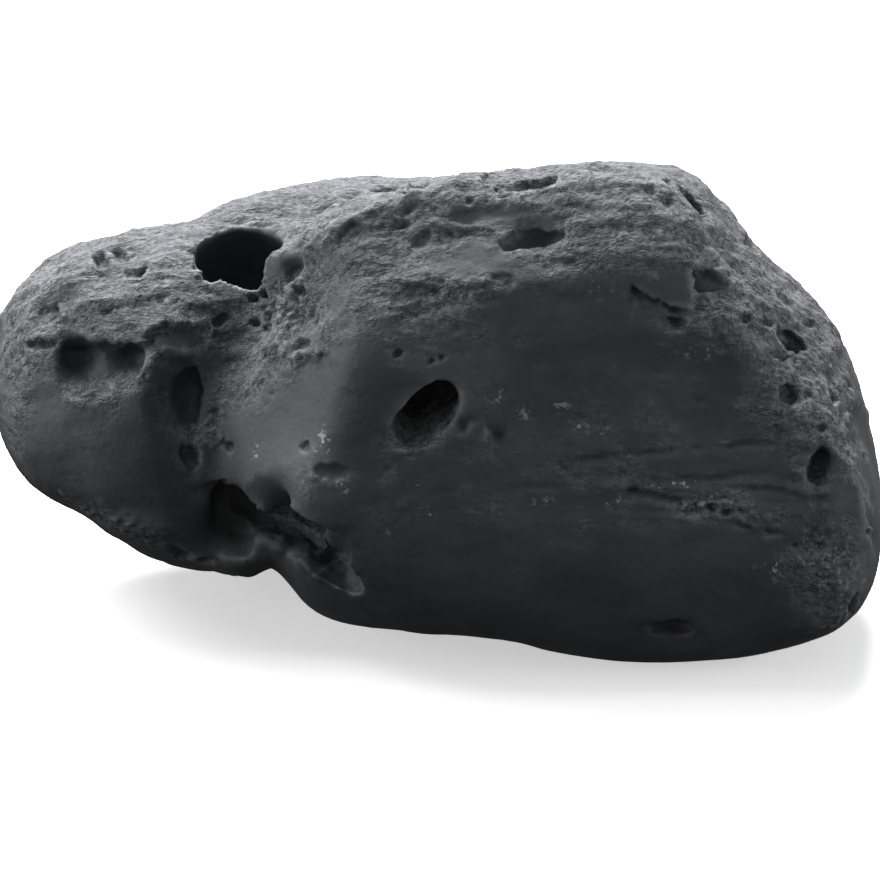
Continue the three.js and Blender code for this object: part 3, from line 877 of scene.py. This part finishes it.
# %% Build the node groups
def new_group(name, inputs, outputs):
    group = bpy.data.node_groups.new(name, "ShaderNodeTree")
    for label, kind, value in inputs:
        socket = group.interface.new_socket(label, in_out="INPUT", socket_type=kind)
        if value is not None:
            socket.default_value = value
    for label in outputs:
        group.interface.new_socket(label, in_out="OUTPUT", socket_type="NodeSocketFloat")
    return group, group.nodes.new("NodeGroupInput"), group.nodes.new("NodeGroupOutput")


def put(tree, kind, settings=(), **values):
    """Adds a node. A value is a number, a colour, or another node's output to link from."""
    node = tree.nodes.new(kind)
    for key, value in dict(settings).items():
        setattr(node, key, value)
    for key, value in values.items():
        socket = node.inputs[int(key[1:])] if key[0] == "_" and key[1:].isdigit() else node.inputs[key]
        if isinstance(value, bpy.types.NodeSocket):
            tree.links.new(value, socket)
        else:
            socket.default_value = value
    return node


def sum_of(tree, kind, first, second, third=0.0):
    return put(tree, "ShaderNodeMath", {"operation": kind}, _0=first, _1=second, _2=third).outputs[0]


def sized(tree, vector, size):
    """Coordinates in which one unit is that many mm."""
    per_unit = sum_of(tree, "DIVIDE", 1 / MM, size)
    return put(tree, "ShaderNodeVectorMath", {"operation": "SCALE"}, _0=vector, Scale=per_unit).outputs[0]


cloud_inputs = [("Vector", "NodeSocketVector", None), ("Size", "NodeSocketFloat", 20.0),
                ("Low", "NodeSocketFloat", 0.35), ("High", "NodeSocketFloat", 0.65)]
clouds, given, result = new_group("clouded tone", cloud_inputs, ["Tone"])
place = sized(clouds, given.outputs["Vector"], given.outputs["Size"])
cloud = put(clouds, "ShaderNodeTexNoise", Vector=place, Scale=1.0, Detail=3.0, Roughness=0.62)
tone = put(clouds, "ShaderNodeMapRange", {"interpolation_type": "SMOOTHSTEP"}, _0=cloud.outputs[0],
           _1=given.outputs["Low"], _2=given.outputs["High"])
clouds.links.new(tone.outputs[0], result.inputs["Tone"])

grit_inputs = [("Vector", "NodeSocketVector", None), ("Size", "NodeSocketFloat", 2.0),
               ("Pitting", "NodeSocketFloat", 0.5)]
grit, given, result = new_group("fine grit", grit_inputs, ["Height", "Pores"])
place = sized(grit, given.outputs["Vector"], given.outputs["Size"])
grains = put(grit, "ShaderNodeTexNoise", Vector=place, Scale=1.0, Detail=3.0, Roughness=0.68)
cells = put(grit, "ShaderNodeTexVoronoi", {"feature": "F1"}, Vector=place, Scale=0.55, Randomness=1.0)
pores = put(grit, "ShaderNodeMapRange", {"interpolation_type": "SMOOTHSTEP"}, _0=cells.outputs["Distance"],
            _1=0.12, _2=0.42, _3=1.0, _4=0.0)
pressed = sum_of(grit, "MULTIPLY", pores.outputs[0], given.outputs["Pitting"])
height = sum_of(grit, "SUBTRACT", grains.outputs[0], pressed)
grit.links.new(height, result.inputs["Height"])
grit.links.new(pores.outputs[0], result.inputs["Pores"])
print("node groups:", [group.name for group in bpy.data.node_groups])

# %% [markdown]
# ## The stone's finish
# The stone is a fine-grained dark grey with a slight blue cast, matt all over. Where it is rough it
# carries pale dust, and is made paler still as painted top light. Deep places get painted shade, fine
# creases are painted with the same shade, and edges are lighter, partly rubbed and partly painted
# highlight. Grit finer than the mesh is bump, strong on rough skin and slight on smooth.

# %% Make the stone material
SMOOTH_DARK = (0.045, 0.049, 0.055, 1)
SMOOTH_LIGHT = (0.066, 0.070, 0.077, 1)
# Pale dust on rough skin, made paler partly as painted top light.
DUSTY_TOPLIT_DARK = (0.080, 0.084, 0.092, 1)
DUSTY_TOPLIT_PALE = (0.155, 0.160, 0.170, 1)
# Painted shade: the dark for hollows, deep places and creases.
PAINTED_SHADE_DARK = (0.018, 0.019, 0.021, 1)
# Lighter edges: partly worn, partly painted highlight.
WEAR_AND_HIGHLIGHT_PALE = (0.23, 0.235, 0.245, 1)
SPECK_PALE = (0.42, 0.43, 0.44, 1)
WEAR_AND_HIGHLIGHT_SHARE = 0.45
PAINTED_SHADE_STRENGTH = 0.75
COARSE_BUMP = 0.7
FINE_BUMP = 0.25
LINE_BUMP = 0.5

stone = bpy.data.materials.new("dark_weathered_stone")
stone.use_nodes = True
nodes = stone.node_tree
nodes.nodes.clear()
surface = put(nodes, "ShaderNodeTexCoord").outputs["Object"]


def mask(name):
    return put(nodes, "ShaderNodeAttribute", {"attribute_name": name}).outputs["Fac"]


def group_node(tree, group, **values):
    return put(tree, "ShaderNodeGroup", {"node_tree": group}, **values)


def mix(tree, share, first, second):
    node = put(tree, "ShaderNodeMix", {"data_type": "RGBA"})
    for socket, value in zip((node.inputs[0], node.inputs[6], node.inputs[7]), (share, first, second)):
        if isinstance(value, bpy.types.NodeSocket):
            tree.links.new(value, socket)
        else:
            socket.default_value = value
    return node.outputs[2]


BED_STRETCH = (0.36, 0.8, 1.0)
CREASE_WIDTH = 0.075


def creases(size):
    """Short wandering lines along the beds: 1 on a line and 0 away from it."""
    bedded = put(nodes, "ShaderNodeVectorMath", {"operation": "MULTIPLY"}, _0=surface, _1=BED_STRETCH)
    place = sized(nodes, bedded.outputs[0], size)
    wander = put(nodes, "ShaderNodeTexNoise", Vector=place, Scale=1.0, Detail=3.0, Roughness=0.6,
                 Distortion=0.5)
    off_line = sum_of(nodes, "ABSOLUTE", sum_of(nodes, "SUBTRACT", wander.outputs[0], 0.5), 0.0)
    line = put(nodes, "ShaderNodeMapRange", {"interpolation_type": "SMOOTHSTEP"}, _0=off_line,
               _1=0.0, _2=CREASE_WIDTH, _3=1.0, _4=0.0).outputs[0]
    broken_up = group_node(nodes, clouds, Vector=surface, Size=3.2 * size, Low=0.42, High=0.56)
    return sum_of(nodes, "MULTIPLY", line, broken_up.outputs["Tone"])


broad_tone = group_node(nodes, clouds, Vector=surface, Size=34.0, Low=0.3, High=0.7).outputs["Tone"]
small_tone = group_node(nodes, clouds, Vector=surface, Size=1.6, Low=0.36, High=0.64).outputs["Tone"]
coarse = group_node(nodes, grit, Vector=surface, Size=1.8, Pitting=0.4)
fine = group_node(nodes, grit, Vector=surface, Size=0.8, Pitting=0.5)

smooth_colour = mix(nodes, broad_tone, SMOOTH_DARK, SMOOTH_LIGHT)
# Rough skin: pale dust, partly painted top light.
dusty_toplit_colour = mix(nodes, small_tone, DUSTY_TOPLIT_DARK, DUSTY_TOPLIT_PALE)
colour = mix(nodes, mask("rough"), smooth_colour, dusty_toplit_colour)
line_strength = put(nodes, "ShaderNodeMapRange", _0=mask("rough"), _1=0.0, _2=1.0, _3=0.05, _4=0.6)
line_strength = line_strength.outputs[0]
# Lighter edges: partly wear, partly painted highlight.
wear_and_highlight_share = sum_of(nodes, "MULTIPLY", mask("wear_and_highlight"), WEAR_AND_HIGHLIGHT_SHARE)
colour = mix(nodes, wear_and_highlight_share, colour, WEAR_AND_HIGHLIGHT_PALE)
# Painted shade in hollows and deep places.
painted_shade_share = sum_of(nodes, "MULTIPLY", mask("hollow"), PAINTED_SHADE_STRENGTH)
colour = mix(nodes, painted_shade_share, colour, PAINTED_SHADE_DARK)
# Fine creases painted dark as the shade inside them, with a sunk bump.
lines = sum_of(nodes, "MAXIMUM", creases(4.6), creases(2.2))
line_share = sum_of(nodes, "MULTIPLY", lines, line_strength)
colour = mix(nodes, line_share, colour, PAINTED_SHADE_DARK)
speck = group_node(nodes, clouds, Vector=surface, Size=2.4, Low=0.56, High=0.61).outputs["Tone"]
speck_share = sum_of(nodes, "MULTIPLY", speck, mask("specks"))
colour = mix(nodes, speck_share, colour, SPECK_PALE)

gloss = put(nodes, "ShaderNodeMapRange", _0=mask("rough"), _1=0.0, _2=1.0, _3=0.62, _4=0.86).outputs[0]
strength = put(nodes, "ShaderNodeMapRange", _0=mask("rough"), _1=0.0, _2=1.0, _3=0.2, _4=1.0).outputs[0]
bump = put(nodes, "ShaderNodeBump", Strength=strength, Distance=COARSE_BUMP * MM,
           Height=coarse.outputs["Height"])
bump = put(nodes, "ShaderNodeBump", Strength=strength, Distance=FINE_BUMP * MM,
           Height=fine.outputs["Height"], Normal=bump.outputs[0])
flat_share = sum_of(nodes, "SUBTRACT", 1.0, lines)
bump = put(nodes, "ShaderNodeBump", Strength=line_strength, Distance=LINE_BUMP * MM, Height=flat_share,
           Normal=bump.outputs[0])
shader = put(nodes, "ShaderNodeBsdfPrincipled", Normal=bump.outputs[0], Roughness=gloss)
nodes.links.new(colour, shader.inputs["Base Color"])
put(nodes, "ShaderNodeOutputMaterial", Surface=shader.outputs[0])
rock.data.materials.clear()
rock.data.materials.append(stone)
print("stone material:", len(nodes.nodes), "nodes")

# %% [markdown]
# ## The floor
# The stone lies on a plain pale floor. The floor is left out of the light that bounces, because in the
# photograph almost none comes up from below and the stone's foot stays dark.

# %% Lay the floor
FLOOR_SIDE = 12.0
FLOOR_LIGHT = (0.86, 0.86, 0.86, 1)
FLOOR_DARK = (0.83, 0.83, 0.83, 1)
# The floor glows a little: painted light that lightens the stone's shadow on it.
FLOOR_GLOW = 0.6

bpy.ops.mesh.primitive_plane_add(size=FLOOR_SIDE)
floor = bpy.context.object
floor.name = "floor"
floor.visible_diffuse = False
floor.visible_glossy = False
paper = bpy.data.materials.new("pale_floor")
paper.use_nodes = True
tree = paper.node_tree
place = put(tree, "ShaderNodeTexCoord").outputs["Object"]
paper_tone = group_node(tree, clouds, Vector=place, Size=60.0).outputs["Tone"]
paper_grit = group_node(tree, grit, Vector=place, Size=1.5).outputs["Height"]
paper_shader = tree.nodes["Principled BSDF"]
tree.links.new(mix(tree, paper_tone, FLOOR_LIGHT, FLOOR_DARK), paper_shader.inputs["Base Color"])
paper_bump = put(tree, "ShaderNodeBump", Strength=0.05, Distance=0.1 * MM, Height=paper_grit)
tree.links.new(paper_bump.outputs[0], paper_shader.inputs["Normal"])
paper_shader.inputs["Roughness"].default_value = 0.9
paper_shader.inputs["Emission Color"].default_value = FLOOR_LIGHT
paper_shader.inputs["Emission Strength"].default_value = FLOOR_GLOW
floor.data.materials.append(paper)
print("floor", FLOOR_SIDE, "m wide")

# %% [markdown]
# ## The light
# In the photograph the top is bright and the side towards the camera is dark, so the light is a large
# soft box overhead and a little behind, with paler walls at both sides and hardly any light from the
# front.

# %% Hang the soft boxes
SOFT_BOXES = [
    ("overhead", (-0.1, 0.8, 1.3), 1.1, 72.0),
    ("upper left", (-1.0, 0.1, 1.1), 0.7, 15.0),
    ("left wall", (-1.2, -0.3, 0.2), 0.8, 7.0),
    ("right wall", (1.25, -0.25, 0.2), 0.8, 8.8),
]
AIM = Vector((0, 0, 0.07))
FILL_BELOW = 0.05
FILL_ABOVE = 0.28

for name, place, side, power in SOFT_BOXES:
    lamp = bpy.data.lights.new(name, "AREA")
    lamp.shape = "SQUARE"
    lamp.size = side
    lamp.energy = power
    box = bpy.data.objects.new(name, lamp)
    scene.collection.objects.link(box)
    box.location = place
    box.rotation_euler = (AIM - Vector(place)).to_track_quat("-Z", "Y").to_euler()
world = bpy.data.worlds.new("white_room")
scene.world = world
world.use_nodes = True
tree = world.node_tree
tree.nodes.clear()
camera_ray = put(tree, "ShaderNodeLightPath").outputs["Is Camera Ray"]
way = put(tree, "ShaderNodeTexCoord").outputs["Generated"]
rise = put(tree, "ShaderNodeSeparateXYZ", Vector=way).outputs["Z"]
fill = put(tree, "ShaderNodeMapRange", _0=rise, _1=-0.4, _2=0.4, _3=FILL_BELOW, _4=FILL_ABOVE).outputs[0]
dim = put(tree, "ShaderNodeBackground", Color=(1, 1, 1, 1), Strength=fill)
white = put(tree, "ShaderNodeBackground", Color=(1, 1, 1, 1), Strength=1.0)
room = put(tree, "ShaderNodeMixShader", _0=camera_ray, _1=dim.outputs[0], _2=white.outputs[0])
put(tree, "ShaderNodeOutputWorld", Surface=room.outputs[0])
scene.view_settings.view_transform = "Standard"
print("soft boxes:", len(SOFT_BOXES))
